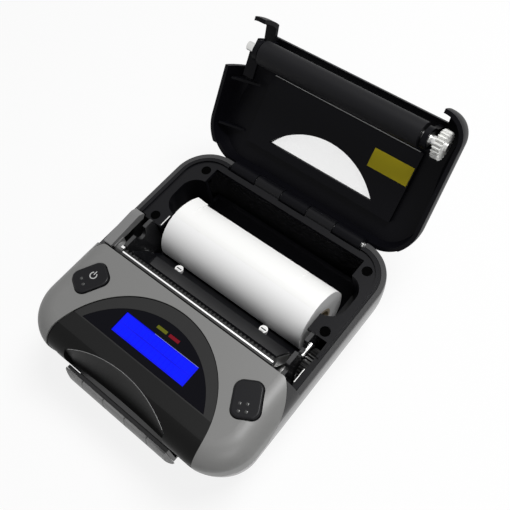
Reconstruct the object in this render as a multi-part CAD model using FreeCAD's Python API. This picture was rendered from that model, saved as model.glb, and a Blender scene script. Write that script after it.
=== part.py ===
import FreeCAD, Part
import math
import os
from FreeCAD import Vector

# A portable 80 mm receipt printer with its clamshell cover stood open.
# Millimetres. X runs along the paper roll, Y to the hinge at the back, Z up.
# The origin is the middle of the case's flat bottom, level with its rubber pads.

# Body outline in plan
# Its middle lies a little to the lever side of the paper path.
body_x = -1.1
side_margin = 6.3
width_flare = 1.3
front_y = -58.3
rear_corner_r = 17.6
front_corner_r = 19.7

# Body heights
bottom_z = 0.0
belly_z = 37.6
rim_z = 39.0
deck_z = 46.0
parting_z = 29.0
base_inset = 9.0
shoulder_inset = 9.6
wall = 2.0
fit_gap = 0.15

# Deck edge behind the keys, where the head well starts
deck_rear_y = -11.0
swoosh_top_z = 45.6
swoosh_bend = (-19.5, 41.6)
swoosh_front_y = -33.0

# Hinge, cover and its open position in the rest pose
hinge_y = 56.2
hinge_setback = 1.6
rear_y = hinge_y + hinge_setback
hinge_z = 38.0
open_angle = 127.0
hinge_pin_r = 1.5
knuckle_r = 3.1
knuckle_gap = 0.4
hinge_span = 36.0
knuckle_count = 5
running_gap = 0.05
cover_height = 17.0
cover_slope_drop = 6.2
cover_wall = 1.8
cover_front_corner_r = 11.0
cover_edge_gap = 0.5

# Platen roller, closed position of its axis
platen_y = 3.2
platen_z = 40.0
platen_r = 5.5
platen_half_length = 40.0
shaft_r = 2.0
shaft_left_x = -48.6
bracket_thickness = 2.4
bush_wall = 1.2
bracket_x = platen_half_length + 1.0
frame_x = bracket_x + bracket_thickness + 0.8
frame_thickness = 1.8

# Gear train
gear_module = 0.5
platen_teeth = 22
idler_teeth = 30
pinion_teeth = 12
gear_width = 3.4
gear_x = frame_x + frame_thickness + 0.6
half_width_rear = gear_x + gear_width + side_margin
half_width_front = half_width_rear + width_flare
pinion_angle = 215.0
mesh_slack = 0.06
motor_r = 7.0
motor_length = 18.0

# Print head
head_half_length = 40.4
head_slope = 53.5
head_gap = 0.05
head_screw_x = (-24.2, 24.2)

# Tear bar
tear_length = 83.0
tear_y = -10.6
tear_top_z = 46.0
tear_thickness = 0.8
tear_shelf = 2.0
tear_leg = 6.0
tear_pitch = 2.0
tear_tooth = 1.2

# Paper roll and its bucket
paper_width = 79.0
roll_y = 21.5
roll_z = 26.5
roll_r = 14.6
core_r = 6.4
core_wall = 1.2
bucket_half_width = 41.2
bucket_front_y = 6.3
bucket_rear_y = 50.0
bucket_floor_gap = 0.4
tray_wall = 1.6
alcove_half_width = 48.6
alcove_front_y = 20.0
alcove_rear_y = 41.5
alcove_floor_z = 21.0
alcove_corner_r = 8.0

# Display and bezel
bezel_centre_y = -56.0
bezel_r = 41.0
bezel_drop = 0.5
lens_centre_y = -59.8
lens_r = 38.5
lens_chord_y = -41.0
lens_thickness = 1.2
lcd_width = 40.0
lcd_height = 9.6
lcd_centre_y = -33.1
lcd_depth = 4.0
light_length = 5.4
light_width = 1.4
light_y = -25.4
light_x = (-2.7, 3.9)

# Keys
key_x = 43.3
key_y = -26.8
key_length = 15.0
key_width = 11.5
key_corner_r = 3.6
key_turn = 30.0
key_gap = 0.35
key_rise = 1.2
key_flange = 1.0
key_travel = 0.8
switch_size = 6.0

# Card reader
card_x = -2.2
card_half_width = 29.0
card_slot = 1.4
card_slot_y = front_y + 1.9
card_slot_floor_z = 18.0
card_guard_top_z = 30.3
card_wall = 1.4
card_skin = 2.2
scoop_half_width = 28.0

# Cover-open lever
lever_rear_y = 12.0
lever_front_y = -9.6
lever_outer_x = body_x - half_width_rear + 2.2
lever_inner_x = lever_outer_x + 4.8
lever_top_z = 43.4
lever_pivot_y = -6.0
lever_pivot_z = 36.6
lever_pin_r = 1.4

# Screws and feet
screw_head_r = 2.1
foot_r = 5.0
foot_x = 34.0
foot_front_y = -38.0
foot_rear_y = 34.0

deck_inner_z = deck_z - wall
case_floor_z = bottom_z + wall


# Helpers for outlines and solids

def plan(z):
    return lambda u, v: Vector(u, v, z)


def side(x):
    return lambda u, v: Vector(x, u, v)


def rounded_wire(corners, place):
    """Closed wire through (u, v, radius) corners, with tangent arcs."""
    count = len(corners)
    spans = []
    for i, (u, v, r) in enumerate(corners):
        here = Vector(u, v, 0)
        back = Vector(*corners[i - 1][:2], 0) - here
        ahead = Vector(*corners[(i + 1) % count][:2], 0) - here
        back.normalize()
        ahead.normalize()
        if r <= 0:
            spans.append((here, None, here))
            continue
        half = back.getAngle(ahead) / 2
        reach = r / math.tan(half)
        bisector = back + ahead
        bisector.normalize()
        middle = here + bisector * (r / math.sin(half) - r)
        spans.append((here + back * reach, middle, here + ahead * reach))
    edges = []
    for i, (start, middle, end) in enumerate(spans):
        if middle is not None:
            points = [place(p.x, p.y) for p in (start, middle, end)]
            edges.append(Part.Arc(*points).toShape())
        following = spans[(i + 1) % count][0]
        if (following - end).Length > 1e-6:
            line = Part.LineSegment(place(end.x, end.y), place(following.x, following.y))
            edges.append(line.toShape())
    return Part.Wire(edges)


def polygon(points, place):
    return rounded_wire([(u, v, 0) for u, v in points], place)


def extrude(wire, vector):
    return Part.Face(wire).extrude(vector)


def box(x0, x1, y0, y1, z0, z1):
    return Part.makeBox(x1 - x0, y1 - y0, z1 - z0, Vector(x0, y0, z0))


def rod(r, x0, x1, y, z):
    return Part.makeCylinder(r, x1 - x0, Vector(x0, y, z), Vector(1, 0, 0))


def post(r, x, y, z0, z1):
    return Part.makeCylinder(r, z1 - z0, Vector(x, y, z0), Vector(0, 0, 1))


def fuse(shapes):
    first, *rest = shapes
    return first.multiFuse(rest).removeSplitter() if rest else first


def cut(shape, tools):
    return shape.cut(Part.makeCompound(tools)) if tools else shape


def mirror(shape):
    return shape.mirror(Vector(0, 0, 0), Vector(1, 0, 0))


def both_sides(shape):
    return [shape, mirror(shape)]


# Body form shared by the case, the deck and the bezel

def outline(inset, z):
    rear = half_width_rear - inset
    front = half_width_front - inset
    corners = [
        (-rear, rear_y - inset, rear_corner_r - inset),
        (-front, front_y + inset, front_corner_r - inset),
        (front, front_y + inset, front_corner_r - inset),
        (rear, rear_y - inset, rear_corner_r - inset),
    ]
    wire = rounded_wire(corners, plan(z))
    wire.translate(Vector(body_x, 0, 0))
    return wire


def body_form(shrink):
    """Body from the floor to the deck, every wall moved inwards by shrink."""
    lower = []
    for t in (0.0, 0.25, 0.5, 0.75, 1.0):
        z = bottom_z + shrink + t * (belly_z - bottom_z - shrink)
        lower.append(outline(shrink + base_inset * (1 - t) ** 1.6, z))
    upper = []
    for s in (0.0, 0.45, 0.75, 0.93, 1.0):
        z = belly_z + s * (deck_z - shrink - belly_z)
        upper.append(outline(shrink + shoulder_inset * (1 - math.sqrt(1 - s * s)), z))
    return Part.makeLoft(lower, True, False).fuse(Part.makeLoft(upper, True, False))


def deck_region(gap):
    """Space above the parting line, which sweeps up to the deck's rear edge."""
    far_y = front_y - 20
    top = deck_z + 20
    rise = Vector(0, deck_rear_y - gap, swoosh_top_z + gap)
    bend = Vector(0, swoosh_bend[0], swoosh_bend[1] + gap)
    low = Vector(0, swoosh_front_y, parting_z + gap)
    front_low = Vector(0, far_y, parting_z + gap)
    front_top = Vector(0, far_y, top)
    rear_top = Vector(0, deck_rear_y - gap, top)
    wire = Part.Wire([
        Part.Arc(rise, bend, low).toShape(),
        Part.LineSegment(low, front_low).toShape(),
        Part.LineSegment(front_low, front_top).toShape(),
        Part.LineSegment(front_top, rear_top).toShape(),
        Part.LineSegment(rear_top, rise).toShape(),
    ])
    reach = half_width_front + 10
    wire.translate(Vector(-reach, 0, 0))
    return extrude(wire, Vector(2 * reach, 0, 0))


outer_form = body_form(0)
inner_form = body_form(wall)
body_shell = outer_form.cut(inner_form)


# Lower case

def hinge_notch():
    return box(-hinge_span - 1.2, hinge_span + 1.2, hinge_y - 8, rear_y + 10,
               hinge_z - knuckle_r - 0.6, rim_z + 20)


def foot_places():
    return [(x, y) for x in (-foot_x, foot_x) for y in (foot_front_y, foot_rear_y)]


def lower_case():
    open_top = box(-80, 80, deck_rear_y - 1, 90, rim_z, 90)
    shape = cut(body_shell, [open_top, deck_region(0), hinge_notch()])
    recesses = [post(foot_r + fit_gap, x, y, bottom_z - 1, bottom_z + wall / 2) for x, y in foot_places()]
    door = battery_door_outline(fit_gap, bottom_z - 1, battery_door_top + fit_gap)
    hatch = battery_door_outline(-1.5, bottom_z - 1, case_floor_z + 1)
    return cut(shape, recesses + [door, hatch, read_head_box(fit_gap)])


battery_x = (-44.0, 18.0)
battery_y = (-31.0, -11.5)
battery_height = 17.0
battery_door_top = bottom_z + wall * 0.6


def battery_door_outline(grow, z0, z1):
    corners = [
        (battery_x[0] - grow, battery_y[0] - grow, 3),
        (battery_x[1] + grow, battery_y[0] - grow, 3),
        (battery_x[1] + grow, battery_y[1] + grow, 3),
        (battery_x[0] - grow, battery_y[1] + grow, 3),
    ]
    return extrude(rounded_wire(corners, plan(z0)), Vector(0, 0, z1 - z0))


def rubber_feet():
    return [post(foot_r, x, y, bottom_z, bottom_z + wall / 2) for x, y in foot_places()]


# Deck, bezel and display

def key_outline(grow, z):
    length = key_length / 2 + grow
    width = key_width / 2 + grow
    r = key_corner_r + grow
    corners = [(-width, -length, r), (width, -length, r), (width, length, r), (-width, length, r)]
    wire = rounded_wire(corners, plan(z))
    wire.rotate(Vector(0, 0, 0), Vector(0, 0, 1), key_turn)
    wire.translate(Vector(key_x, key_y, 0))
    return wire


def key_prism(grow, z0, z1):
    return extrude(key_outline(grow, z0), Vector(0, 0, z1 - z0))


def top_deck():
    shape = body_shell.common(deck_region(fit_gap))
    dial = post(bezel_r, 0, bezel_centre_y, 0, 90)
    keys = both_sides(key_prism(key_gap, deck_z - 10, deck_z + 10))
    return cut(shape, [dial] + keys)


def lens_prism(grow, z0, z1):
    """D-shaped prism: an arc over a straight lower edge."""
    r = lens_r + grow
    chord = lens_chord_y - grow
    half = math.sqrt(r * r - (chord - lens_centre_y) ** 2)
    left = Vector(-half, chord, z0)
    right = Vector(half, chord, z0)
    top = Vector(0, lens_centre_y + r, z0)
    wire = Part.Wire([Part.Arc(left, top, right).toShape(), Part.LineSegment(right, left).toShape()])
    return extrude(wire, Vector(0, 0, z1 - z0))


lens_top_z = deck_z - bezel_drop - 0.1
lens_bottom_z = lens_top_z - lens_thickness


def lcd_window(grow, z0, z1):
    half = lcd_width / 2 + grow
    deep = lcd_height / 2 + grow
    return box(-half, half, lcd_centre_y - deep, lcd_centre_y + deep, z0, z1)


def light_bar(x, grow, z0, z1):
    half_l = light_length / 2 + grow
    half_w = light_width / 2 + grow
    return box(x - half_l, x + half_l, light_y - half_w, light_y + half_w, z0, z1)


def scoop():
    """Funnel over the card slot, wide at the top and closing on the slot."""
    wires = []
    high = (deck_z + 2, card_slot_y + 9.4, card_slot_y + 1.6)
    low = (parting_z - 1, card_slot_y + 0.4, card_slot_y - 0.2)
    for z, apex, end in (high, low):
        left = Vector(-scoop_half_width, end, z)
        right = Vector(scoop_half_width, end, z)
        far_right = Vector(scoop_half_width, front_y - 20, z)
        far_left = Vector(-scoop_half_width, front_y - 20, z)
        wires.append(Part.Wire([
            Part.Arc(left, Vector(0, apex, z), right).toShape(),
            Part.LineSegment(right, far_right).toShape(),
            Part.LineSegment(far_right, far_left).toShape(),
            Part.LineSegment(far_left, left).toShape(),
        ]))
    funnel = Part.makeLoft(wires, True, True)
    funnel.translate(Vector(card_x, 0, 0))
    return funnel


bezel_thickness = 3.2


def front_bezel():
    skin = body_form(bezel_drop).cut(body_form(bezel_drop + bezel_thickness))
    shape = skin.common(post(bezel_r - fit_gap, 0, bezel_centre_y, parting_z + fit_gap, 90))
    liner = body_form(bezel_drop).common(post(bezel_r - fit_gap, 0, bezel_centre_y, parting_z + fit_gap, 90))
    thick = liner.common(grown_scoop())
    shape = shape.fuse(thick).cut(scoop())
    openings = [
        lens_prism(0.1, lens_bottom_z, deck_z + 5),
        lcd_window(1.0, deck_z - 12, deck_z),
        box(light_x[0] - light_length, light_x[1] + light_length,
            light_y - 1.5, light_y + 1.5, deck_z - 12, deck_z),
    ]
    return cut(shape, openings).removeSplitter()


def grown_scoop():
    grown = scoop()
    grown.translate(Vector(0, bezel_thickness * 0.8, 0))
    return grown


def display_lens():
    shape = lens_prism(0, lens_bottom_z, lens_top_z)
    windows = [lcd_window(0, 0, 90)]
    windows += [light_bar(x, 0.1, 0, 90) for x in light_x]
    return cut(shape, windows)


def lcd_module():
    glass = lcd_window(-0.1, lens_bottom_z - lcd_depth, lens_top_z - 0.4)
    frame = lcd_window(0.8, lens_bottom_z - lcd_depth, lens_bottom_z - 0.1)
    return glass.fuse(frame).removeSplitter()


def status_light(x):
    return light_bar(x, 0, lens_bottom_z - lcd_depth, lens_top_z)


board_top_z = lens_bottom_z - lcd_depth
board_thickness = 1.6


def display_board():
    half = half_width_front - 8.0
    corners = [(-half + 4, -42, 3), (half - 4, -42, 3), (half, -16, 3), (-half, -16, 3)]
    return extrude(rounded_wire(corners, plan(board_top_z - board_thickness)), Vector(0, 0, board_thickness))


def key_cap(sign):
    """Rubber key with a domed top, a retaining flange and a stem on its switch."""
    flange_top = deck_inner_z - 0.4
    body = key_prism(0, flange_top, deck_z + key_rise)
    crown = body.makeFillet(0.8, [e for e in body.Edges if e.BoundBox.ZMin > deck_z + key_rise - 0.01])
    flange = key_prism(key_flange, flange_top - 1.0, flange_top).common(body_form(wall + key_gap))
    stem = post(1.6, key_x, key_y, switch_top_z + fit_gap, flange_top - 0.5)
    shape = fuse([crown, flange, stem])
    return shape if sign > 0 else mirror(shape)


switch_top_z = board_top_z + 1.4


def key_switches():
    half = switch_size / 2
    switch = box(key_x - half, key_x + half, key_y - half, key_y + half,
                 board_top_z, switch_top_z - key_travel)
    return both_sides(switch)


# Card reader at the front

def card_channel():
    """U channel that the card is drawn through, with its back fitted to the case."""
    front = card_slot_y - card_slot - card_wall
    block = box(-card_half_width, card_half_width, front, -46, card_slot_floor_z - card_wall, parting_z)
    lip = box(-card_half_width, card_half_width, front, front + card_wall,
              parting_z - 1, card_guard_top_z - 0.3)
    slot = box(-card_half_width - 1, card_half_width + 1, card_slot_y - card_slot, card_slot_y,
               card_slot_floor_z, 60)
    channel = block.fuse(lip).removeSplitter().cut(slot)
    channel.translate(Vector(card_x, 0, 0))
    return cut(channel, [body_form(-fit_gap), read_head_box(fit_gap)])


def card_guard():
    back = card_slot_y - card_slot - card_wall - fit_gap
    low = card_slot_floor_z - card_wall - 1.5
    profile = Part.Wire([
        Part.LineSegment(Vector(0, back, low), Vector(0, back, card_guard_top_z)).toShape(),
        Part.LineSegment(Vector(0, back, card_guard_top_z),
                         Vector(0, back - 0.8, card_guard_top_z)).toShape(),
        Part.Arc(Vector(0, back - 0.8, card_guard_top_z),
                 Vector(0, back - card_skin, (card_guard_top_z + low) / 2),
                 Vector(0, back - 0.8, low)).toShape(),
        Part.LineSegment(Vector(0, back - 0.8, low), Vector(0, back, low)).toShape(),
    ])
    profile.translate(Vector(-card_half_width - 0.5, 0, 0))
    bar = extrude(profile, Vector(2 * card_half_width + 1, 0, 0))
    reach = card_half_width + 0.5
    far = back - card_skin - 1
    corners = [(-reach, back, 0), (-reach, far, 5), (reach, far, 5), (reach, back, 0)]
    ends = extrude(rounded_wire(corners, plan(low - 1)), Vector(0, 0, card_guard_top_z - low + 2))
    grooves = [box(x - 0.2, x + 0.2, far - 1, back - card_skin + 0.3, low - 1, card_guard_top_z + 1)
               for x in (-19, -6.5, 6, 18.5)]
    guard = cut(bar.common(ends), grooves)
    guard.translate(Vector(card_x, 0, 0))
    return guard


def read_head_box(grow):
    front = card_slot_y + 0.1 - grow
    return box(card_x - 4 - grow, card_x + 4 + grow, front, front + 5 + 2 * grow,
               card_slot_floor_z + 3 - grow, card_slot_floor_z + 9 + grow)


def card_read_head():
    return read_head_box(0)


# Tray with the paper bucket, head well and pockets

bucket_floor_z = roll_z - roll_r - bucket_floor_gap


def bucket_profile(grow, top):
    front = bucket_front_y - grow
    rear = bucket_rear_y + grow
    floor = bucket_floor_z - grow
    corners = [(front, top, 0), (front, floor, 9 + grow), (rear, floor, 21 + grow), (rear, top, 0)]
    return corners


def bucket_solid(grow, top):
    reach = bucket_half_width + grow
    wire = rounded_wire(bucket_profile(grow, top), side(-reach))
    return extrude(wire, Vector(2 * reach, 0, 0))


def alcove_solid(grow, top):
    reach = alcove_half_width + grow
    r = alcove_corner_r + grow
    corners = [
        (-reach, alcove_front_y - grow, r),
        (reach, alcove_front_y - grow, r),
        (reach, alcove_rear_y + grow, r),
        (-reach, alcove_rear_y + grow, r),
    ]
    floor = alcove_floor_z - grow
    return extrude(rounded_wire(corners, plan(floor)), Vector(0, 0, top - floor))


tray_thickness = 2.0
bead_inset = 3.3
bead_front_y = 4.0
bead_width = 1.2
bead_height = 0.8
pocket_y = (-12.0, 11.6)
pocket_inner_x = 41.2
pocket_outer_x = half_width_rear - 5.2
rim_screws = ((47.5, 14.8), (45.0, 46.6))
screw_bore_r = 1.3


def inner_tray():
    inset = wall + fit_gap
    plate = extrude(outline(inset, rim_z - tray_thickness), Vector(0, 0, tray_thickness))
    bead = extrude(outline(bead_inset, rim_z), Vector(0, 0, bead_height))
    bead = bead.cut(extrude(outline(bead_inset + bead_width, rim_z - 1), Vector(0, 0, 4)))
    bead = bead.common(box(-80, 80, bead_front_y, 90, 0, 90))
    keep = box(-80, 80, deck_rear_y, 90, 0, 90)
    flange = plate.fuse(bead).common(keep)
    low_top = rim_z - 18.5
    walls = bucket_solid(tray_wall, low_top).fuse(bucket_back(tray_wall)).fuse(alcove_solid(tray_wall, rim_z))
    hollow = bucket_solid(0, low_top + 30).fuse(alcove_solid(0, rim_z + 10))
    knuckles = [knuckle(x0, x1, -1) for x0, x1 in knuckle_spans()[1::2]]
    shape = flange.fuse(walls)
    shape = cut(shape, [hollow, hinge_notch_inner(), inner_form_clear()])
    shape = shape.multiFuse(knuckles)
    well = box(-pocket_inner_x, pocket_inner_x, deck_rear_y - 1, bucket_front_y + 0.1, low_top, 90)
    pockets = both_sides(box(pocket_inner_x - 0.1, pocket_outer_x, pocket_y[0], pocket_y[1], rim_z - 10, 90))
    lever_slot = box(lever_outer_x - 2, -pocket_outer_x + 0.1, deck_rear_y - 1, lever_rear_y + 0.5,
                     rim_z - 10, 90)
    bores = []
    for x, y in rim_screws:
        bores += both_sides(post(screw_bore_r, x, y, rim_z - 10, rim_z + 5))
        bores += both_sides(post(screw_head_r + 0.2, x, y, rim_z - tray_thickness / 2, rim_z + 5))
    return cut(shape, [well, lever_slot] + pockets + bores).removeSplitter()


def inner_form_clear():
    """Everything outside the case's inner walls."""
    shell = box(-90, 90, -90, 90, -10, rim_z)
    return shell.cut(body_form(wall + fit_gap))


def bucket_back(grow):
    """Rear half of the bucket, which rises to the rim."""
    tall = bucket_solid(grow, rim_z)
    return tall.common(box(-90, 90, alcove_front_y, 90, -10, 90))


# Hinge

def knuckle_spans():
    pitch = 2 * hinge_span / knuckle_count
    spans = []
    for i in range(knuckle_count):
        x0 = -hinge_span + i * pitch
        spans.append((x0 + knuckle_gap / 2, x0 + pitch - knuckle_gap / 2))
    return spans


def hinge_notch_inner():
    return box(-hinge_span - 1.0, hinge_span + 1.0, hinge_y - knuckle_r - 0.4, 90, 0, 90)


def knuckle(x0, x1, way):
    """Barrel with a web: way -1 goes to the tray, way 1 up to the cover."""
    barrel = rod(knuckle_r, x0, x1, hinge_y, hinge_z)
    if way < 0:
        web = box(x0, x1, hinge_y - knuckle_r - 1.5, hinge_y, rim_z - tray_thickness, rim_z)
    else:
        web = box(x0, x1, hinge_y - 1.6, hinge_y + 1.0, hinge_z, rim_z + cover_edge_gap + 4)
    bore = rod(hinge_pin_r + running_gap, x0 - 1, x1 + 1, hinge_y, hinge_z)
    return barrel.fuse(web).cut(bore)


def hinge_pin():
    return rod(hinge_pin_r, -hinge_span - 0.6, hinge_span + 0.6, hinge_y, hinge_z)


# Print head

slope = math.radians(head_slope)
along = Vector(0, math.cos(slope), -math.sin(slope))
outward = Vector(0, math.sin(slope), math.cos(slope))
contact = Vector(0, platen_y, platen_z) - outward * (platen_r + head_gap)


def head_point(s, n):
    return contact + along * s + outward * n


def head_prism(points, half):
    wire = Part.makePolygon([head_point(s, n) + Vector(-half, 0, 0) for s, n in points + points[:1]])
    return extrude(wire, Vector(2 * half, 0, 0))


head_pivot_s = 13.6
head_pivot_n = -4.6
head_pin_r = 1.2


def heat_sink():
    points = [(-5.5, -1.0), (4.2, -1.0), (4.2, -2.6), (15.0, -2.6), (15.0, -5.6), (-5.5, -5.6)]
    plate = head_prism(points, head_half_length)
    fins = [head_prism([(s, -5.6), (s + 1.2, -5.6), (s + 1.2, -7.4), (s, -7.4)], 18.0)
            for s in (-3.0, 0.0, 3.0, 6.0)]
    pivot = head_point(head_pivot_s, head_pivot_n)
    reach = frame_x + frame_thickness / 2 - 0.1
    pin = rod(head_pin_r, -reach, reach, pivot.y, pivot.z)
    return cut(fuse([plate, pin] + fins), [head_screw(x, 0) for x in head_screw_x])


def thermal_head():
    base = head_prism([(-8.0, -1.0), (4.1, -1.0), (4.1, 0.0), (-8.0, 0.0)], head_half_length - 0.4)
    return base


def head_cover():
    plate = head_prism([(4.5, -2.6), (14.0, -2.6), (14.0, -1.6), (13.6, -1.2), (4.9, -1.2), (4.5, -1.6)],
                       head_half_length - 0.4)
    return plate.cut(Part.makeCompound([head_screw(x, 0.1) for x in head_screw_x]))


def head_screw(x, grow):
    place = head_point(7.9, -2.6) + Vector(x, 0, 0)
    shank = Part.makeCylinder(1.0 + grow, 2.0, place - outward * 1.0, outward)
    head = Part.makeCylinder(1.9 + grow, 1.4, place + outward * 0.8, outward)
    return shank.fuse(head)


def head_screws():
    return [head_screw(x, 0) for x in head_screw_x]


def head_frame():
    """Two cheeks with a slot for the platen shaft, joined by beams."""
    slot_r = shaft_r + 0.2
    rear = pocket_y[1]
    cheek_corners = [(-9.4, 12.0, 2), (-9.4, 38.6, 0), (-6.4, 38.6, 0), (-6.4, 42.4, 2),
                     (rear, 42.4, 2), (rear, 12.0, 2)]
    cheek = extrude(rounded_wire(cheek_corners, side(frame_x)), Vector(frame_thickness, 0, 0))
    mouth = [(platen_y - slot_r, platen_z, 0), (platen_y - slot_r - 1.6, 46, 0),
             (platen_y + slot_r + 1.6, 46, 0), (platen_y + slot_r, platen_z, 0)]
    slot = extrude(rounded_wire(mouth, side(frame_x - 1)), Vector(frame_thickness + 2, 0, 0))
    seat = rod(slot_r, frame_x - 1, frame_x + frame_thickness + 1, platen_y, platen_z)
    pivot = head_point(head_pivot_s, head_pivot_n)
    pin_bore = rod(head_pin_r + running_gap, frame_x - 1, frame_x + frame_thickness + 1, pivot.y, pivot.z)
    cheek = cut(cheek, [slot, seat, pin_bore])
    front = box(-frame_x - 0.1, frame_x + 0.1, tear_y - 2.4, tear_y - 0.05, 35.0, deck_inner_z - 0.4)
    arm = box(frame_x, frame_x + frame_thickness, tear_y - 2.4, -9.0, 35.0, 38.6)
    frame = fuse([front] + both_sides(cheek) + both_sides(arm))
    axle_bore = rod(axle_r, frame_x + frame_thickness / 2, frame_x + 9, idler_centre.y, idler_centre.z)
    spindle_bore = rod(motor_shaft_r + 0.3, frame_x - 1, frame_x + 9, motor_centre.y, motor_centre.z)
    return cut(frame, [axle_bore, spindle_bore])


def tear_bar():
    half = tear_length / 2
    top = tear_top_z
    leg = box(-half, half, tear_y, tear_y + tear_thickness, top - tear_leg, top)
    shelf = box(-half, half, tear_y, tear_y + tear_shelf, top - tear_thickness, top)
    count = int(tear_length / tear_pitch)
    start = -count * tear_pitch / 2
    edge = tear_y + tear_shelf
    points = [(start, edge - 0.2)]
    for i in range(count):
        x = start + i * tear_pitch
        points += [(x, edge), (x + tear_pitch / 2, edge + tear_tooth)]
    points += [(-start, edge), (-start, edge - 0.2)]
    teeth = extrude(polygon(points[::-1], plan(top - tear_thickness)), Vector(0, 0, tear_thickness))
    return fuse([leg, shelf, teeth])


# Gears and motor

def gear(teeth, y, z, x0, width, phase, bore):
    """Spur gear about X; phase is the direction of one tooth in degrees."""
    pitch_r = gear_module * teeth / 2
    tip_r = pitch_r + gear_module
    root_r = pitch_r - 1.25 * gear_module
    step = 360.0 / teeth
    points = []
    for i in range(teeth):
        middle = phase + i * step
        for r, share in ((root_r, -0.36), (tip_r, -0.13), (tip_r, 0.13), (root_r, 0.36)):
            a = math.radians(middle + share * step)
            points.append((y + r * math.cos(a), z + r * math.sin(a)))
    blank = extrude(polygon(points, side(x0)), Vector(width, 0, 0))
    return blank.cut(rod(bore, x0 - 1, x0 + width + 1, y, z))


reach_y = platen_y - hinge_y
reach_z = platen_z - hinge_z
reach = math.hypot(reach_y, reach_z)
drop = Vector(0, -reach_z / reach, reach_y / reach)
idler_distance = gear_module * (platen_teeth + idler_teeth) / 2 + mesh_slack
idler_centre = Vector(0, platen_y, platen_z) + drop * idler_distance
pinion_direction = Vector(0, math.cos(math.radians(pinion_angle)), math.sin(math.radians(pinion_angle)))
pinion_distance = gear_module * (idler_teeth + pinion_teeth) / 2 + mesh_slack
motor_centre = idler_centre + pinion_direction * pinion_distance
drop_angle = math.degrees(math.atan2(drop.z, drop.y))
idler_phase = drop_angle + 180
platen_phase = drop_angle + 180.0 / platen_teeth
axle_r = 1.5
motor_shaft_r = 1.0


def drive_gear():
    return gear(idler_teeth, idler_centre.y, idler_centre.z, gear_x, gear_width, idler_phase,
                axle_r + running_gap)


def motor_pinion():
    """Pinion with its phase set by the idler's teeth, on the motor shaft."""
    step = 360.0 / idler_teeth
    offset = (pinion_angle - idler_phase) / step
    fraction = offset - math.floor(offset)
    phase = pinion_angle + 180 + (0.5 - fraction) * 360.0 / pinion_teeth * -1
    wheel = gear(pinion_teeth, motor_centre.y, motor_centre.z, gear_x, gear_width, phase, motor_shaft_r)
    spindle = rod(motor_shaft_r, frame_x - 1.0, gear_x + gear_width, motor_centre.y, motor_centre.z)
    return wheel.fuse(spindle).removeSplitter()


def gear_axle():
    x0 = frame_x + frame_thickness / 2
    pin = rod(axle_r, x0, gear_x + gear_width + 0.8, idler_centre.y, idler_centre.z)
    cap = rod(axle_r + 0.9, gear_x + gear_width + 0.2, gear_x + gear_width + 0.9,
              idler_centre.y, idler_centre.z)
    return pin.fuse(cap).removeSplitter()


def stepper_motor():
    can = rod(motor_r, frame_x - motor_length, frame_x, motor_centre.y, motor_centre.z)
    bore = rod(motor_shaft_r + running_gap, frame_x - 1.2, frame_x + 2, motor_centre.y, motor_centre.z)
    return can.cut(bore)


# Electronics and power inside the case

def main_board():
    corners = [(-36, 6, 2), (36, 6, 2), (36, 38, 2), (-36, 38, 2)]
    z = case_floor_z + 1.5
    return extrude(rounded_wire(corners, plan(z)), Vector(0, 0, board_thickness))


def battery_pack():
    corners = [(battery_y[0] + 2.5, battery_door_top + fit_gap + 0.2, 3),
               (battery_y[1] - 2.5, battery_door_top + fit_gap + 0.2, 3),
               (battery_y[1] - 2.5, battery_door_top + battery_height, 5),
               (battery_y[0] + 2.5, battery_door_top + battery_height, 5)]
    x0 = battery_x[0] + 2.5
    return extrude(rounded_wire(corners, side(x0)), Vector(battery_x[1] - battery_x[0] - 5, 0, 0))


def battery_door():
    return battery_door_outline(0, bottom_z, battery_door_top)


# Cover, modelled closed and then turned open

cover_front_y = deck_rear_y + 1.2
cover_base_z = rim_z + cover_edge_gap


def cover_outline(inset, z):
    rear = half_width_rear - 0.2 - inset
    front = half_width_rear + 0.4 - inset
    corners = [
        (-rear, hinge_y + 0.6 - inset, rear_corner_r - inset),
        (-front, cover_front_y + inset, max(cover_front_corner_r - inset, 2.0)),
        (front, cover_front_y + inset, max(cover_front_corner_r - inset, 2.0)),
        (rear, hinge_y + 0.6 - inset, rear_corner_r - inset),
    ]
    wire = rounded_wire(corners, plan(z))
    wire.translate(Vector(body_x, 0, 0))
    return wire


def cover_dome(shrink):
    """Lid form: walls leaning in to a top that slopes down to the hinge."""
    wires = []
    height = cover_height - shrink
    for s in (0.0, 0.4, 0.7, 0.9, 1.0):
        z = cover_base_z + s * height
        wires.append(cover_outline(shrink + 9.0 * (1 - math.sqrt(1 - (0.96 * s) ** 2)), z))
    walls = Part.makeLoft(wires, True, False)
    top = cover_base_z + cover_height - shrink
    crown_y = 14.0
    rear_top = top - cover_slope_drop
    profile = [
        (hinge_y + 10, cover_base_z - 5, 0),
        (hinge_y + 10, rear_top - 4.0, 0),
        (hinge_y - 10, rear_top, 30),
        (crown_y, top, 40),
        (cover_front_y - 8, top - 8.0, 0),
        (cover_front_y - 8, cover_base_z - 5, 0),
    ]
    wire = rounded_wire(profile, side(-90))
    return walls.common(extrude(wire, Vector(180, 0, 0)))


def turned_open(shape):
    shape = shape.copy()
    shape.rotate(Vector(0, hinge_y, hinge_z), Vector(1, 0, 0), -open_angle)
    return shape


window_half = 27.8
window_rise = 12.5
window_chord_y = 40.6
window_margin = 1.6
liner_half_width = 39.5
liner_rear = (45.0, 46.4)
liner_front = (13.5, 51.9)
liner_thickness = 1.4


def window_prism(grow):
    half = window_half + grow
    chord = window_chord_y + grow
    left = Vector(-half, chord, rim_z)
    right = Vector(half, chord, rim_z)
    apex = Vector(0, window_chord_y - window_rise - grow, rim_z)
    wire = Part.Wire([Part.Arc(left, apex, right).toShape(), Part.LineSegment(right, left).toShape()])
    return extrude(wire, Vector(0, 0, 40))


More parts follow.
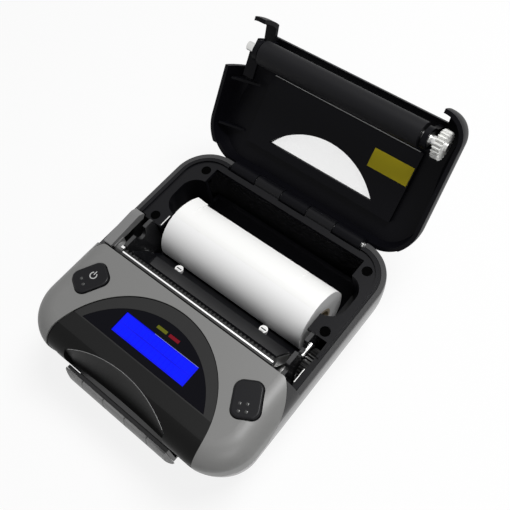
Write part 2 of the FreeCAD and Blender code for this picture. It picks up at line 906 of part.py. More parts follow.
def shell_window(grow):
    """Window in the shell, a little larger than the one in the inner plate."""
    prism = window_prism(window_margin + grow)
    prism.translate(Vector(0, window_margin / 2, 0))
    return prism


def lever_cutout(grow):
    """Corner of the cover left open for the lever."""
    corners = [(-90, cover_front_y - 10, 0), (lever_inner_x + 1.0 + grow, cover_front_y - 10, 0),
               (lever_inner_x + 1.0 + grow, lever_rear_y + 3.5 + grow, 6), (-90, lever_rear_y + 3.5 + grow, 0)]
    return extrude(rounded_wire(corners, plan(rim_z - 5)), Vector(0, 0, 60))


lip_half = 43.8
lip_y = -2.4
rear_edge_reach = 5.0
rear_edge_lift = 2.0


def cover_shell():
    shell = cover_dome(0).cut(cover_dome(cover_wall))
    exit_slot = box(-lip_half, lip_half, cover_front_y - 5, lip_y, rim_z - 5, 90)
    rear_edge = box(-90, 90, hinge_y - rear_edge_reach, 90, 0, cover_base_z + rear_edge_lift)
    shell = cut(shell, [shell_window(0), exit_slot, lever_cutout(0), rear_clear(), rear_edge])
    return fuse([shell] + platen_brackets() + cover_hinge())


def rear_clear():
    """Room for the tray's hinge knuckles in the cover's rear edge."""
    tools = []
    for x0, x1 in knuckle_spans()[1::2]:
        tools.append(box(x0 - 0.4, x1 + 0.4, hinge_y - 6, hinge_y + 4, rim_z - 5, hinge_z + knuckle_r + 0.6))
    return Part.makeCompound(tools)


def cover_liner():
    """Inner plate held off the shell by a rib on each side."""
    ry, rz = liner_rear
    fy, fz = liner_front
    points = [(ry, rz), (ry, rz + liner_thickness), (fy, fz + liner_thickness), (fy, fz)]
    plate = extrude(polygon(points, side(-liner_half_width)), Vector(2 * liner_half_width, 0, 0))
    plate = plate.cut(window_prism(0.3))
    parts = [plate]
    for x in (-liner_half_width, liner_half_width - liner_thickness):
        rib = polygon([(ry, rz), (fy, fz), (fy, fz + 8), (ry, rz + 8)], side(x))
        parts.append(extrude(rib, Vector(liner_thickness, 0, 0)).common(cover_dome(cover_wall)))
    return fuse(parts)


def platen_brackets():
    """Arms that hang from the cover and hold the platen bushes."""
    arms = []
    r = shaft_r + bush_wall + 1.4
    for sign in (-1, 1):
        x0 = bracket_x if sign > 0 else -bracket_x - bracket_thickness
        eye = rod(r, x0, x0 + bracket_thickness, platen_y, platen_z)
        neck = box(x0, x0 + bracket_thickness, platen_y - r * 0.8, platen_y + r, platen_z, platen_z + 18)
        bore = rod(shaft_r + bush_wall, x0 - 1, x0 + bracket_thickness + 1, platen_y, platen_z)
        arms.append(eye.fuse(neck).cut(bore))
    return [arm.common(cover_dome(cover_wall / 2).fuse(box(-90, 90, -90, 90, 0, cover_base_z + 1)))
            for arm in arms]


def platen_bushes():
    rings = []
    for x0 in (bracket_x, -bracket_x - bracket_thickness):
        ring = rod(shaft_r + bush_wall, x0, x0 + bracket_thickness, platen_y, platen_z)
        rings.append(ring.cut(rod(shaft_r + running_gap, x0 - 1, x0 + bracket_thickness + 1, platen_y, platen_z)))
    return rings


def cover_hinge():
    return [knuckle(x0, x1, 1) for x0, x1 in knuckle_spans()[0::2]]


def platen_roller():
    tube = rod(platen_r, -platen_half_length, platen_half_length, platen_y, platen_z)
    return tube.cut(rod(shaft_r, -platen_half_length - 1, platen_half_length + 1, platen_y, platen_z))


def platen_shaft():
    return rod(shaft_r, shaft_left_x, gear_x + gear_width + 1.0, platen_y, platen_z)


def platen_gear():
    return gear(platen_teeth, platen_y, platen_z, gear_x, gear_width, platen_phase, shaft_r)


def cover_window():
    sheet = cover_dome(0.2).cut(cover_dome(cover_wall - 0.2))
    return sheet.common(shell_window(-0.1))


# Paper

def paper_roll():
    half = paper_width / 2
    body = rod(roll_r, -half, half, roll_y, roll_z)
    return body.cut(rod(core_r, -half - 1, half + 1, roll_y, roll_z))


def roll_core():
    half = paper_width / 2
    tube = rod(core_r, -half, half, roll_y, roll_z)
    return tube.cut(rod(core_r - core_wall, -half - 1, half + 1, roll_y, roll_z))


# Cover-open lever

def open_lever():
    """Finger pad on the left wall with an arm towards the platen shaft's end."""
    corners = [(lever_pivot_y, rim_z + 0.4, 0), (lever_front_y, rim_z + 2.6, 0.4),
               (lever_front_y, lever_top_z - 1, 0.4),
               (lever_rear_y - 3, lever_top_z, 3), (lever_rear_y, rim_z + 2.4, 1), (lever_rear_y - 2, rim_z + 0.4, 0)]
    pad = extrude(rounded_wire(corners, side(lever_outer_x)), Vector(lever_inner_x - lever_outer_x, 0, 0))
    inner = -frame_x - frame_thickness - 0.5
    arm_top = platen_z - shaft_r - 0.5
    hub = rod(lever_pin_r + 1.6, lever_inner_x - 3.0, inner, lever_pivot_y, lever_pivot_z)
    web = box(lever_inner_x - 3.0, lever_inner_x + 0.4, lever_pivot_y - 2.4, lever_pivot_y + 3.5,
              lever_pivot_z, rim_z + 1.5)
    arm = box(inner - 2.2, inner, lever_pivot_y, platen_y - shaft_r - 2.4, arm_top - 3.0, arm_top)
    bore = rod(lever_pin_r + running_gap, lever_inner_x - 9, inner + 5, lever_pivot_y, lever_pivot_z)
    return fuse([pad, hub, web, arm]).cut(bore)


def lever_pin():
    return rod(lever_pin_r, lever_inner_x - 3.4, -frame_x - frame_thickness, lever_pivot_y, lever_pivot_z)


def tray_screws():
    screws = []
    for x, y in rim_screws:
        head = post(screw_head_r, x, y, rim_z - tray_thickness / 2, rim_z - tray_thickness / 2 + 0.9)
        shank = post(screw_bore_r - 0.1, x, y, rim_z - 8, rim_z - tray_thickness / 2)
        screws += both_sides(head.fuse(shank).removeSplitter())
    return screws


# Write every piece to its own file

def group(shapes):
    return Part.makeCompound(shapes) if isinstance(shapes, list) else shapes


pieces = {
    "lower_case": lower_case(),
    "top_deck": top_deck(),
    "inner_tray": inner_tray(),
    "front_bezel": front_bezel(),
    "display_lens": display_lens(),
    "lcd_module": lcd_module(),
    "ready_light": status_light(light_x[0]),
    "fault_light": status_light(light_x[1]),
    "display_board": display_board(),
    "key_switches": key_switches(),
    "power_button": key_cap(-1),
    "feed_button": key_cap(1),
    "card_channel": card_channel(),
    "card_guard": card_guard(),
    "card_read_head": card_read_head(),
    "head_frame": head_frame(),
    "heat_sink": heat_sink(),
    "thermal_head": thermal_head(),
    "head_cover": head_cover(),
    "head_screws": head_screws(),
    "tear_bar": tear_bar(),
    "drive_gear": drive_gear(),
    "motor_pinion": motor_pinion(),
    "gear_axle": gear_axle(),
    "stepper_motor": stepper_motor(),
    "main_board": main_board(),
    "battery_pack": battery_pack(),
    "battery_door": battery_door(),
    "rubber_feet": rubber_feet(),
    "hinge_pin": hinge_pin(),
    "tray_screws": tray_screws(),
    "lever_pin": lever_pin(),
    "open_lever": open_lever(),
    "paper_roll": paper_roll(),
    "roll_core": roll_core(),
}
cover_pieces = {
    "cover_shell": cover_shell(),
    "cover_liner": cover_liner(),
    "cover_window": cover_window(),
    "platen_bushes": platen_bushes(),
    "platen_roller": platen_roller(),
    "platen_shaft": platen_shaft(),
    "platen_gear": platen_gear(),
}
for name, shapes in cover_pieces.items():
    pieces[name] = turned_open(group(shapes))

os.makedirs("parts", exist_ok=True)
for name, shapes in pieces.items():
    group(shapes).exportStep(f"parts/{name}.step")
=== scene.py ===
import math
import bmesh
import bpy
from mathutils import Matrix, Vector


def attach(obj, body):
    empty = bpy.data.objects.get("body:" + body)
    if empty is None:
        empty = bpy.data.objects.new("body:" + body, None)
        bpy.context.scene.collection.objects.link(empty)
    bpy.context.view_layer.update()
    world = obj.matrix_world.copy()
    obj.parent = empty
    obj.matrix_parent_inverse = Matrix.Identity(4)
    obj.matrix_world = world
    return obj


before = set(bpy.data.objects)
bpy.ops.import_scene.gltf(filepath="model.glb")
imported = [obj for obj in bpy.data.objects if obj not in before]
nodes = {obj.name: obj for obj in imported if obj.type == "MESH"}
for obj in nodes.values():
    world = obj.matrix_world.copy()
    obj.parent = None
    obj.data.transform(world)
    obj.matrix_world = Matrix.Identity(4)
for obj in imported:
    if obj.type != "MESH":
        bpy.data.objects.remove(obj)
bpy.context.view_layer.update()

MM = 0.001
scene = bpy.context.scene

# Closed-cover positions in millimetres, carried to the open rest pose
HINGE = Vector((0, 56.2, 38.0))
OPEN = Matrix.Rotation(math.radians(-127.0), 3, "X")


def opened(p):
    return HINGE + OPEN @ (Vector(p) - HINGE)


# Materials

def shader(name, color, rough, metallic=0.0, specular=0.5):
    m = bpy.data.materials.new(name)
    m.use_nodes = True
    b = m.node_tree.nodes["Principled BSDF"]
    b.inputs["Base Color"].default_value = (*color, 1.0)
    b.inputs["Roughness"].default_value = rough
    b.inputs["Metallic"].default_value = metallic
    b.inputs["Specular IOR Level"].default_value = specular
    return m, m.node_tree, b


def object_coords(tree):
    return tree.nodes.new("ShaderNodeTexCoord").outputs["Object"]


def add_grain(tree, b, scale, strength, distance, mottle=0.0):
    """Fine moulded grain: bump, and a slight change of roughness."""
    noise = tree.nodes.new("ShaderNodeTexNoise")
    noise.inputs["Scale"].default_value = scale
    noise.inputs["Detail"].default_value = 3.0
    tree.links.new(object_coords(tree), noise.inputs["Vector"])
    bump = tree.nodes.new("ShaderNodeBump")
    bump.inputs["Strength"].default_value = strength
    bump.inputs["Distance"].default_value = distance
    tree.links.new(noise.outputs["Fac"], bump.inputs["Height"])
    tree.links.new(bump.outputs["Normal"], b.inputs["Normal"])
    if mottle:
        low = b.inputs["Roughness"].default_value
        spread = tree.nodes.new("ShaderNodeMapRange")
        spread.inputs["To Min"].default_value = low - mottle
        spread.inputs["To Max"].default_value = low + mottle
        tree.links.new(noise.outputs["Fac"], spread.inputs["Value"])
        tree.links.new(spread.outputs["Result"], b.inputs["Roughness"])


def plain(name, color, rough, **more):
    return shader(name, color, rough, **more)[0]


def grained(name, color, rough, scale, strength, distance, mottle=0.0, **more):
    m, tree, b = shader(name, color, rough, **more)
    add_grain(tree, b, scale, strength, distance, mottle)
    return m


def lit(name, color, glow):
    m, _, b = shader(name, color, 0.3, specular=0.05)
    b.inputs["Emission Color"].default_value = (*color, 1.0)
    b.inputs["Emission Strength"].default_value = glow
    return m


def brushed(name, color, rough):
    """Steel with fine lines along X."""
    m, tree, b = shader(name, color, rough, metallic=1.0)
    stretch = tree.nodes.new("ShaderNodeMapping")
    stretch.inputs["Scale"].default_value = (60.0, 4000.0, 4000.0)
    tree.links.new(object_coords(tree), stretch.inputs["Vector"])
    noise = tree.nodes.new("ShaderNodeTexNoise")
    noise.inputs["Scale"].default_value = 1.0
    tree.links.new(stretch.outputs["Vector"], noise.inputs["Vector"])
    spread = tree.nodes.new("ShaderNodeMapRange")
    spread.inputs["To Min"].default_value = rough - 0.08
    spread.inputs["To Max"].default_value = rough + 0.12
    tree.links.new(noise.outputs["Fac"], spread.inputs["Value"])
    tree.links.new(spread.outputs["Result"], b.inputs["Roughness"])
    return m


def dotted(name, color, rough):
    m, tree, b = shader(name, color, rough)
    cells = tree.nodes.new("ShaderNodeTexVoronoi")
    cells.inputs["Scale"].default_value = 900.0
    cells.inputs["Randomness"].default_value = 0.15
    tree.links.new(object_coords(tree), cells.inputs["Vector"])
    bump = tree.nodes.new("ShaderNodeBump")
    bump.inputs["Strength"].default_value = 0.6
    bump.inputs["Distance"].default_value = 0.0003
    bump.invert = True
    tree.links.new(cells.outputs["Distance"], bump.inputs["Height"])
    tree.links.new(bump.outputs["Normal"], b.inputs["Normal"])
    return m


def banded(name, axis, stops, rough, metallic=0.0, fold=False, grain=False, specular=0.5):
    """Grey steps along one axis, in millimetres. The last stop ends the range; fold mirrors about zero."""
    m, tree, b = shader(name, (0.5, 0.5, 0.5), rough, metallic=metallic, specular=specular)
    if grain:
        add_grain(tree, b, 3600.0, 0.35, 0.00006, 0.06)
    split = tree.nodes.new("ShaderNodeSeparateXYZ")
    tree.links.new(object_coords(tree), split.inputs["Vector"])
    place = split.outputs[axis]
    if fold:
        absolute = tree.nodes.new("ShaderNodeMath")
        absolute.operation = "ABSOLUTE"
        tree.links.new(place, absolute.inputs[0])
        place = absolute.outputs["Value"]
    low, high = stops[0][0], stops[-1][0]
    span = tree.nodes.new("ShaderNodeMapRange")
    span.inputs["From Min"].default_value = low * MM
    span.inputs["From Max"].default_value = high * MM
    tree.links.new(place, span.inputs["Value"])
    ramp = tree.nodes.new("ShaderNodeValToRGB")
    ramp.color_ramp.interpolation = "CONSTANT"
    while len(ramp.color_ramp.elements) < len(stops) - 1:
        ramp.color_ramp.elements.new(0.5)
    for element, (at, value) in zip(ramp.color_ramp.elements, stops):
        element.position = (at - low) / (high - low)
        element.color = (value, value, value, 1.0)
    tree.links.new(span.outputs["Result"], ramp.inputs["Fac"])
    tree.links.new(ramp.outputs["Color"], b.inputs["Base Color"])
    return m


def lcd_glow():
    """Blue backlight, slightly mottled."""
    m, tree, b = shader("lcd_blue", (0.002, 0.003, 0.05), 0.25, specular=0.05)
    noise = tree.nodes.new("ShaderNodeTexNoise")
    noise.inputs["Scale"].default_value = 60.0
    tree.links.new(object_coords(tree), noise.inputs["Vector"])
    ramp = tree.nodes.new("ShaderNodeValToRGB")
    ramp.color_ramp.elements[0].position = 0.3
    ramp.color_ramp.elements[0].color = (0.003, 0.006, 0.80, 1.0)
    ramp.color_ramp.elements[1].position = 0.75
    ramp.color_ramp.elements[1].color = (0.004, 0.010, 0.96, 1.0)
    tree.links.new(noise.outputs["Fac"], ramp.inputs["Fac"])
    tree.links.new(ramp.outputs["Color"], b.inputs["Emission Color"])
    b.inputs["Emission Strength"].default_value = 0.95
    return m


def clear_sheet():
    m, _, b = shader("window_clear", (0.92, 0.93, 0.93), 0.04)
    b.inputs["Alpha"].default_value = 0.12
    return m


BLACK = (0.012, 0.012, 0.013)
# The guard is the deck's grey paint, set a little darker here as painted shade on its upright face.
GUARD_GREY = 0.13
# Dark lines at the guard's grooves are painted shade in the grooves.
GROOVE_SHADE = 0.01
GROOVE_HALF = 0.3
GUARD_GROOVES_X = (-21.2, -8.7, 3.8, 16.3)
guard_bands = [(-40.0, GUARD_GREY)]
for x in GUARD_GROOVES_X:
    guard_bands += [(x - GROOVE_HALF, GROOVE_SHADE), (x + GROOVE_HALF, GUARD_GREY)]
guard_bands.append((40.0, GUARD_GREY))
# Bezel grey by Y: the charcoal ring behind the lens chord, a darker step on the smoother front face below
# it, and the darkest step painted shade in the card scoop.
bezel_face_and_scoop_shade_bands = [(-70.0, 0.001), (-49.0, 0.007), (-41.6, 0.021), (0.0, 0.021)]
# Tear bar steel by Y: dark blade with a narrow bright band that is a painted highlight along its edge.
blade_steel_and_highlight_bands = [(-12.0, 0.05), (-9.7, 0.85), (-9.1, 0.035), (-5.0, 0.035)]
# Paper white across the roll, with the end faces painted grey as painted shade.
paper_end_shade_bands = [(0.0, 0.80), (39.45, 0.30), (60.0, 0.30)]
looks = {
    "case": grained("case_black", BLACK, 0.22, 2600.0, 0.06, 0.00003, 0.03, specular=0.6),
    "tray": grained("tray_black", (0.003, 0.003, 0.004), 0.30, 2200.0, 0.10, 0.00004, 0.05, specular=0.14),
    "cover": grained("cover_black", (0.002, 0.002, 0.003), 0.42, 2400.0, 0.10, 0.00004, 0.05, specular=0.07),
    "deck": grained("deck_grey", (0.150, 0.150, 0.147), 0.42, 3200.0, 0.10, 0.00003, 0.04),
    "bezel": banded("bezel_charcoal", "Y", bezel_face_and_scoop_shade_bands, 0.42, grain=True, specular=0.12),
    "guard": banded("guard_grey", "X", guard_bands, 0.45),
    "bump": plain("key_bump", (0.02, 0.02, 0.02), 0.25),
    # Light grey for painted highlights along edges: the card scoop and the liner's front edge.
    "edge": plain("painted_edge_highlight", (0.16, 0.16, 0.16), 0.3),
    "gloss": plain("lens_black", (0.002, 0.002, 0.004), 0.06, specular=0.06),
    "channel": plain("channel_black", (0.006, 0.006, 0.007), 0.14, specular=0.3),
    "lcd": lcd_glow(),
    "green": lit("light_green", (0.085, 0.09, 0.008), 0.25),
    "red": lit("light_red", (0.13, 0.006, 0.012), 0.25),
    "board": plain("board_green", (0.01, 0.07, 0.03), 0.4),
    "key": grained("key_rubber", (0.004, 0.004, 0.005), 0.36, 2600.0, 0.2, 0.00005, 0.05, specular=0.15),
    "steel": brushed("steel", (0.62, 0.62, 0.61), 0.28),
    "aluminium": brushed("sink_aluminium", (0.42, 0.42, 0.42), 0.4),
    "white": plain("gear_white", (0.74, 0.74, 0.72), 0.35),
    "gear_black": plain("gear_black", (0.012, 0.012, 0.012), 0.3),
    "platen": grained("platen_rubber", (0.005, 0.005, 0.006), 0.55, 1800.0, 0.12, 0.00004, 0.05,
                      specular=0.12),
    "pad": plain("pad_rubber", (0.01, 0.01, 0.01), 0.7),
    "paper": banded("paper_white", "X", paper_end_shade_bands, 0.6, fold=True),
    "tear": banded("tear_steel", "Y", blade_steel_and_highlight_bands, 0.36, 1.0),
    "tail": plain("paper_tail", (0.80, 0.80, 0.79), 0.6),
    "screw": plain("screw_bright", (0.75, 0.75, 0.74), 0.3, metallic=0.5),
    "spring": plain("spring_steel", (0.85, 0.85, 0.84), 0.22, metallic=0.8),
    "cell": lit("lcd_cell", (0.003, 0.007, 0.70), 0.95),
    # Glowing strip for the painted highlight on the display's upper edge.
    "streak": lit("lcd_painted_highlight", (0.30, 0.34, 0.60), 0.5),
    "core": plain("core_card", (0.45, 0.38, 0.28), 0.7),
    "lever": dotted("lever_grey", (0.15, 0.15, 0.15), 0.45),
    "window": clear_sheet(),
    "battery": plain("battery_black", (0.02, 0.02, 0.022), 0.4),
    "sticker": plain("sticker_yellow", (0.46, 0.38, 0.012), 0.5, specular=0.2),
    "mark": plain("key_mark", (0.42, 0.42, 0.42), 0.5),
    # Near-black with no sheen: painted shade on the tray screws and in the screw slots; also the dark joint
    # line around the bezel.
    "hole": plain("screw_recess", (0.0015, 0.0015, 0.0015), 0.7, specular=0.0),
}
node_looks = {
    "case": "lower_case battery_door head_frame", "tray": "inner_tray head_cover",
    "cover": "cover_shell cover_liner", "deck": "top_deck", "guard": "card_guard", "bezel": "front_bezel",
    "gloss": "display_lens", "channel": "card_channel thermal_head", "lcd": "lcd_module",
    "green": "ready_light", "red": "fault_light", "board": "display_board main_board",
    "key": "power_button feed_button", "aluminium": "heat_sink", "white": "platen_gear",
    "steel": "card_read_head gear_axle hinge_pin lever_pin platen_shaft platen_bushes stepper_motor",
    "tear": "tear_bar", "screw": "head_screws",
    "gear_black": "drive_gear motor_pinion key_switches", "hole": "tray_screws",
    "platen": "platen_roller", "pad": "rubber_feet",
    "paper": "paper_roll", "core": "roll_core", "lever": "open_lever", "window": "cover_window",
    "battery": "battery_pack",
}
for look, names in node_looks.items():
    for name in names.split():
        mesh = nodes[name].data
        mesh.materials.clear()
        mesh.materials.append(looks[look])


# Small pieces made here

def piece(name, bm, look, body):
    bmesh.ops.recalc_face_normals(bm, faces=bm.faces)
    mesh = bpy.data.meshes.new(name)
    bm.to_mesh(mesh)
    bm.free()
    mesh.materials.append(looks[look])
    obj = bpy.data.objects.new(name, mesh)
    scene.collection.objects.link(obj)
    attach(obj, body)


def slab(bm, corners, thickness):
    """Flat plate through the corners, in millimetres, thickened along its normal."""
    points = [Vector(p) for p in corners]
    normal = (points[1] - points[0]).cross(points[2] - points[0]).normalized()
    low = [bm.verts.new(p * MM) for p in points]
    high = [bm.verts.new((p + normal * thickness) * MM) for p in points]
    bm.faces.new(low[::-1])
    bm.faces.new(high)
    count = len(points)
    for i in range(count):
        j = (i + 1) % count
        bm.faces.new((low[i], low[j], high[j], high[i]))


def arc_band(bm, centre, inner, outer, start, end, z0, z1, steps=40):
    """Curved bar in the XY plane between two angles in degrees."""
    rows = []
    for i in range(steps + 1):
        a = math.radians(start + (end - start) * i / steps)
        c, s = math.cos(a), math.sin(a)
        row = [Vector((centre[0] + r * c, centre[1] + r * s, z)) for r, z in
               ((inner, z0), (outer, z0), (outer, z1), (inner, z1))]
        rows.append([bm.verts.new(p * MM) for p in row])
    for a, b in zip(rows, rows[1:]):
        for k in range(4):
            m = (k + 1) % 4
            bm.faces.new((a[k], a[m], b[m], b[k]))
    bm.faces.new(rows[0])
    bm.faces.new(rows[-1][::-1])


KEY = Vector((43.3, -26.8, 47.2))
KEY_TURN = 30.0

# Generic power symbol on the left key
MARK = Vector((-KEY.x + 0.6, KEY.y + 1.4))
MARK_Z = 47.1
MARK_RISE = 0.14
MARK_RING = (1.25, 1.7)
MARK_SWEEP = (125, 415)
MARK_BAR_HALF = 0.22
MARK_BAR_Y = (0.3, 2.2)
bm = bmesh.new()
arc_band(bm, MARK, *MARK_RING, *MARK_SWEEP, MARK_Z, MARK_Z + MARK_RISE)
low_y, high_y = (MARK.y + y for y in MARK_BAR_Y)
slab(bm, [(MARK.x - MARK_BAR_HALF, low_y, MARK_Z), (MARK.x + MARK_BAR_HALF, low_y, MARK_Z),
          (MARK.x + MARK_BAR_HALF, high_y, MARK_Z), (MARK.x - MARK_BAR_HALF, high_y, MARK_Z)], MARK_RISE)
piece("power_symbol", bm, "mark", "power_key")

# Blank sticker on the liner inside the cover
STICKER_X = (19.6, 39.0)
STICKER_Y = (20.4, 28.6)
STICKER_THICKNESS = 0.15
LINER_REAR = (45.0, 46.4)
LINER_FRONT = (13.5, 51.9)


def liner_z(y):
    slope = (LINER_FRONT[1] - LINER_REAR[1]) / (LINER_REAR[0] - LINER_FRONT[0])
    return LINER_REAR[1] + (LINER_REAR[0] - y) * slope


bm = bmesh.new()
(x0, x1), (y0, y1) = STICKER_X, STICKER_Y
corners = [(x0, y1), (x1, y1), (x1, y0), (x0, y0)]
slab(bm, [opened((x, y, liner_z(y))) for x, y in corners], STICKER_THICKNESS)
piece("inner_sticker", bm, "sticker", "cover")


# Repeats made with geometry nodes

def realize(tree, geometry, look, name, mesh, values):
    """End a node tree, run it once on the mesh, and give the plain result as an object."""
    solid = tree.nodes.new("GeometryNodeRealizeInstances")
    tree.links.new(geometry, solid.inputs["Geometry"])
    finish = tree.nodes.new("GeometryNodeSetMaterial")
    finish.inputs["Material"].default_value = looks[look]
    tree.links.new(solid.outputs["Geometry"], finish.inputs["Geometry"])
    out = tree.nodes.new("NodeGroupOutput")
    tree.links.new(finish.outputs["Geometry"], out.inputs["Geometry"])
    obj = bpy.data.objects.new(name, mesh)
    scene.collection.objects.link(obj)
    modifier = obj.modifiers.new(name, "NODES")
    modifier.node_group = tree
    for socket, value in values:
        modifier[socket.identifier] = value
    graph = bpy.context.evaluated_depsgraph_get()
    made = bpy.data.meshes.new_from_object(obj.evaluated_get(graph))
    obj.modifiers.remove(modifier)
    obj.data = made
    return obj


def repeat_grid(name, form, columns, rows, pitch, size, look):
    """Plain mesh of one small form repeated on a grid, sizes in millimetres."""
    tree = bpy.data.node_groups.new(name, "GeometryNodeTree")
    tree.interface.new_socket("Geometry", in_out="OUTPUT", socket_type="NodeSocketGeometry")
    values = {"Columns": columns, "Rows": rows, "Pitch X": pitch[0] * MM, "Pitch Y": pitch[1] * MM,
              "Size X": size[0] * MM, "Size Y": size[1] * MM, "Size Z": size[2] * MM}
    sockets = {}
    for label, value in values.items():
        kind = "NodeSocketInt" if isinstance(value, int) else "NodeSocketFloat"
        sockets[label] = tree.interface.new_socket(label, in_out="INPUT", socket_type=kind)
    make = tree.nodes.new
    link = tree.links.new
    given = make("NodeGroupInput").outputs
    grid = make("GeometryNodeMeshGrid")
    link(given["Columns"], grid.inputs["Vertices X"])
    link(given["Rows"], grid.inputs["Vertices Y"])
    for label, count, target in (("Pitch X", "Columns", "Size X"), ("Pitch Y", "Rows", "Size Y")):
        less = make("ShaderNodeMath")
        less.operation = "SUBTRACT"
        link(given[count], less.inputs[0])
        less.inputs[1].default_value = 1.0
        times = make("ShaderNodeMath")
        times.operation = "MULTIPLY"
        link(less.outputs["Value"], times.inputs[0])
        link(given[label], times.inputs[1])
        link(times.outputs["Value"], grid.inputs[target])
    scale = make("ShaderNodeCombineXYZ")
    for axis in "XYZ":
        link(given["Size " + axis], scale.inputs[axis])
    if form == "dome":
        unit = make("GeometryNodeMeshUVSphere")
        unit.inputs["Segments"].default_value = 16
        unit.inputs["Rings"].default_value = 8
        unit.inputs["Radius"].default_value = 0.5
    elif form == "disc":
        unit = make("GeometryNodeMeshCylinder")
        unit.inputs["Vertices"].default_value = 40
        unit.inputs["Radius"].default_value = 0.5
        unit.inputs["Depth"].default_value = 1.0
    else:
        unit = make("GeometryNodeMeshCube")
    spread = make("GeometryNodeInstanceOnPoints")
    link(grid.outputs["Mesh"], spread.inputs["Points"])
    link(unit.outputs["Mesh"], spread.inputs["Instance"])
    link(scale.outputs["Vector"], spread.inputs["Scale"])
    given_values = [(socket, values[label]) for label, socket in sockets.items()]
    return realize(tree, spread.outputs["Instances"], look, name, bpy.data.meshes.new(name), given_values)


def tube_path(name, points, radius, look):
    """Plain mesh of a thin round bead along the points, sizes in millimetres."""
    tree = bpy.data.node_groups.new(name, "GeometryNodeTree")
    tree.interface.new_socket("Geometry", in_out="INPUT", socket_type="NodeSocketGeometry")
    socket = tree.interface.new_socket("Radius", in_out="INPUT", socket_type="NodeSocketFloat")
    tree.interface.new_socket("Geometry", in_out="OUTPUT", socket_type="NodeSocketGeometry")
    make = tree.nodes.new
    link = tree.links.new
    given = make("NodeGroupInput").outputs
    path = make("GeometryNodeMeshToCurve")
    link(given["Geometry"], path.inputs["Mesh"])
    ring = make("GeometryNodeCurvePrimitiveCircle")
    ring.inputs["Resolution"].default_value = 8
    link(given["Radius"], ring.inputs["Radius"])
    sweep = make("GeometryNodeCurveToMesh")
    sweep.inputs["Fill Caps"].default_value = True
    link(path.outputs["Curve"], sweep.inputs["Curve"])
    link(ring.outputs["Curve"], sweep.inputs["Profile Curve"])
    line = bpy.data.meshes.new(name)
    line.from_pydata([Vector(p) * MM for p in points], [(i, i + 1) for i in range(len(points) - 1)], [])
    return realize(tree, sweep.outputs["Mesh"], look, name, line, [(socket, radius * MM)])


def put(obj, matrix, body):
    obj.data.transform(matrix)
    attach(obj, body)


# Character cells of the display
LCD_CENTRE = Vector((0, -33.1, 45.02))
cells = repeat_grid("lcd_cells", "block", 16, 2, (2.35, 4.4), (1.9, 3.5, 0.06), "cell")
put(cells, Matrix.Translation(LCD_CENTRE * MM), "base")

# Raised bumps on the front half of each key
BUMP_PITCH = 3.0
BUMP_SIZE = (1.5, 1.5, 0.7)
BUMP_SHIFT = {"feed_key": Vector((1.0, -3.4, 0.0)), "power_key": Vector((-1.2, -3.4, 0.0))}
for side, body, rows in ((1, "feed_key", 2), (-1, "power_key", 1)):
    bumps = repeat_grid("bumps_" + body, "dome", 2, rows, (BUMP_PITCH, BUMP_PITCH), BUMP_SIZE, "bump")
    spot = Vector((side * KEY.x, KEY.y, KEY.z)) + BUMP_SHIFT[body]
    turn = Matrix.Rotation(math.radians(side * KEY_TURN), 4, "Z")
    put(bumps, Matrix.Translation(spot * MM) @ turn, body)

# Painted highlight along the edge of the card scoop: a light bead on an arc that follows the bezel's rounded
# front
SCOOP_APEX = Vector((-2.2, -48.1, 45.5))
SCOOP_EDGE_R = 57.7
SCOOP_EDGE_HALF = 26.8
SCOOP_BEAD_R = 0.13
SCOOP_STEPS = 32
BEZEL_ROUND_Y = -49.0
BEZEL_FALL = 0.064
scoop_highlight = []
for i in range(SCOOP_STEPS + 1):
    across = SCOOP_EDGE_HALF * (2 * i / SCOOP_STEPS - 1)
    y = SCOOP_APEX.y - SCOOP_EDGE_R + math.sqrt(SCOOP_EDGE_R ** 2 - across ** 2)
    z = SCOOP_APEX.z - BEZEL_FALL * max(0.0, BEZEL_ROUND_Y - y) ** 2
    scoop_highlight.append((SCOOP_APEX.x + across, y, z))
put(tube_path("scoop_highlight", scoop_highlight, SCOOP_BEAD_R, "edge"), Matrix.Identity(4), "base")

# Painted highlight along the display's upper edge: a glowing strip standing in for a reflection
STREAK_X = (-4.0, 19.6)
STREAK_Y = (-28.45, -28.2)
bm = bmesh.new()
(x0, x1), (y0, y1), z = STREAK_X, STREAK_Y, LCD_CENTRE.z
slab(bm, [(x0, y0, z), (x1, y0, z), (x1, y1, z), (x0, y1, z)], 0.03)
piece("lcd_painted_highlight", bm, "streak", "base")

# Loose outer turn of the paper, standing a little off the roll at the back
ROLL = Vector((0, 21.5, 26.5))
TAIL_START_R = 14.54
TAIL_SETTLE = 0.12
TAIL_SETTLE_RATE = 6.0
TAIL_REACH = 1.5
TAIL_FROM = 100
TAIL_TURN = 62
TAIL_STEPS = 24
TAIL_THICKNESS = 0.09
TAIL_LIFTS = [(-39.4, 1.0), (-36.5, 0.9), (-33.2, 0.75), (-33.1, 0.15), (-20.0, 0.35),
              (0.0, 0.3), (25.0, 0.35), (25.1, 0.05), (39.4, 0.05)]


def tail_row(x, lift):
    row = []
    for i in range(TAIL_STEPS + 1):
        t = i / TAIL_STEPS
        a = math.radians(TAIL_FROM - TAIL_TURN * t)
        reach = TAIL_START_R + TAIL_SETTLE * min(1.0, TAIL_SETTLE_RATE * t) + TAIL_REACH * lift * t ** 3
        row.append(ROLL + Vector((x, reach * math.cos(a), reach * math.sin(a))))
    return row


def rim_of(sheet):
    near = [row[0] for row in sheet]
    far = [row[-1] for row in sheet[-2::-1]]
    return near + sheet[-1][1:] + far + sheet[0][-2:0:-1]


